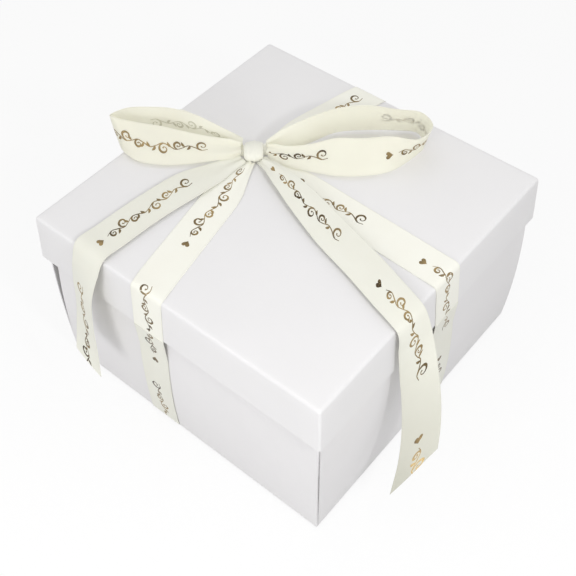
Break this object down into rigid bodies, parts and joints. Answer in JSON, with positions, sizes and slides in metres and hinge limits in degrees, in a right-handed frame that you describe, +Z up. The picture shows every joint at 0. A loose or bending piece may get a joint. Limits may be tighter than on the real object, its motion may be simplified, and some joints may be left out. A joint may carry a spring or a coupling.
{
  "type": "explosion gift box",
  "caption": "Square gift box tied with a printed ribbon; the walls fall open in layers when the lid is lifted off, round a small lidded box.",
  "frame": {"origin": "under the middle of the box, on the surface that it stands on", "axes": "+Z up; -Y out of the front wall; +X out of the right-hand wall"},
  "size_m": [0.245, 0.2267, 0.1489],
  "materials": {
    "white_card": "smooth matt card with a soft sheen",
    "grey_board": "uncoated board",
    "ivory_card": "laid card",
    "blush_card": "matt card with a foil border",
    "pearl_card": "pearl card",
    "satin_ribbon": "cream satin ribbon with gold foil print"
  },
  "bodies": {
    "base": {"base_panel": "white_card", "ribbon_underside": "satin_ribbon", "inner_base": "ivory_card", "mini_box_body": "pearl_card"},
    "lid": {"lid_shell": "white_card", "lid_collar": "grey_board", "lid_ribbon_front": "satin_ribbon", "lid_ribbon_right": "satin_ribbon", "lid_ribbon_back": "satin_ribbon", "lid_ribbon_left": "satin_ribbon", "bow_knot": "satin_ribbon", "bow_loop_left": "satin_ribbon", "bow_loop_right": "satin_ribbon", "ribbon_tail_left": "satin_ribbon", "ribbon_tail_right": "satin_ribbon"},
    "mini_lid": {"mini_box_lid": "pearl_card"},
    "wall_front": {"wall_front": "white_card", "wall_card_front": "ivory_card", "wall_ribbon_front": "satin_ribbon"},
    "inner_wall_front": {"inner_wall_front": "ivory_card", "inner_card_front": "blush_card"},
    "wall_right": {"wall_right": "white_card", "wall_card_right": "ivory_card", "wall_ribbon_right": "satin_ribbon"},
    "inner_wall_right": {"inner_wall_right": "ivory_card", "inner_card_right": "blush_card"},
    "wall_back": {"wall_back": "white_card", "wall_card_back": "ivory_card", "wall_ribbon_back": "satin_ribbon"},
    "inner_wall_back": {"inner_wall_back": "ivory_card", "inner_card_back": "blush_card"},
    "wall_left": {"wall_left": "white_card", "wall_card_left": "ivory_card", "wall_ribbon_left": "satin_ribbon"},
    "inner_wall_left": {"inner_wall_left": "ivory_card", "inner_card_left": "blush_card"}
  },
  "joints": [
    {"name": "lid_lift", "type": "slide", "parent": "base", "child": "lid", "axis": [0, 0, 1], "range_m": [0, 0.36]},
    {"name": "mini_lid_lift", "type": "slide", "parent": "base", "child": "mini_lid", "axis": [0, 0, 1], "range_m": [0, 0.045]},
    {"name": "wall_front_fall", "type": "hinge", "parent": "base", "child": "wall_front", "pos_m": [0, -0.09847, 0.0008], "axis": [1, 0, 0], "range_deg": [0, 84]},
    {"name": "inner_wall_front_fall", "type": "hinge", "parent": "base", "child": "inner_wall_front", "pos_m": [0, -0.08747, 0.0021], "axis": [1, 0, 0], "range_deg": [0, 84]},
    {"name": "wall_right_fall", "type": "hinge", "parent": "base", "child": "wall_right", "pos_m": [0.09847, 0, 0.0008], "axis": [0, 1, 0], "range_deg": [0, 84]},
    {"name": "inner_wall_right_fall", "type": "hinge", "parent": "base", "child": "inner_wall_right", "pos_m": [0.08747, 0, 0.0021], "axis": [0, 1, 0], "range_deg": [0, 84]},
    {"name": "wall_back_fall", "type": "hinge", "parent": "base", "child": "wall_back", "pos_m": [0, 0.09847, 0.0008], "axis": [-1, 0, 0], "range_deg": [0, 84]},
    {"name": "inner_wall_back_fall", "type": "hinge", "parent": "base", "child": "inner_wall_back", "pos_m": [0, 0.08747, 0.0021], "axis": [-1, 0, 0], "range_deg": [0, 84]},
    {"name": "wall_left_fall", "type": "hinge", "parent": "base", "child": "wall_left", "pos_m": [-0.09847, 0, 0.0008], "axis": [0, -1, 0], "range_deg": [0, 84]},
    {"name": "inner_wall_left_fall", "type": "hinge", "parent": "base", "child": "inner_wall_left", "pos_m": [-0.08747, 0, 0.0021], "axis": [0, -1, 0], "range_deg": [0, 84]}
  ],
  "couplings": [
    {"joint": "wall_front_fall", "follows": "lid_lift", "rad_per_m": 4.07},
    {"joint": "inner_wall_front_fall", "follows": "lid_lift", "rad_per_m": 4.07},
    {"joint": "wall_right_fall", "follows": "lid_lift", "rad_per_m": 4.07},
    {"joint": "inner_wall_right_fall", "follows": "lid_lift", "rad_per_m": 4.07},
    {"joint": "wall_back_fall", "follows": "lid_lift", "rad_per_m": 4.07},
    {"joint": "inner_wall_back_fall", "follows": "lid_lift", "rad_per_m": 4.07},
    {"joint": "wall_left_fall", "follows": "lid_lift", "rad_per_m": 4.07},
    {"joint": "inner_wall_left_fall", "follows": "lid_lift", "rad_per_m": 4.07}
  ]
}
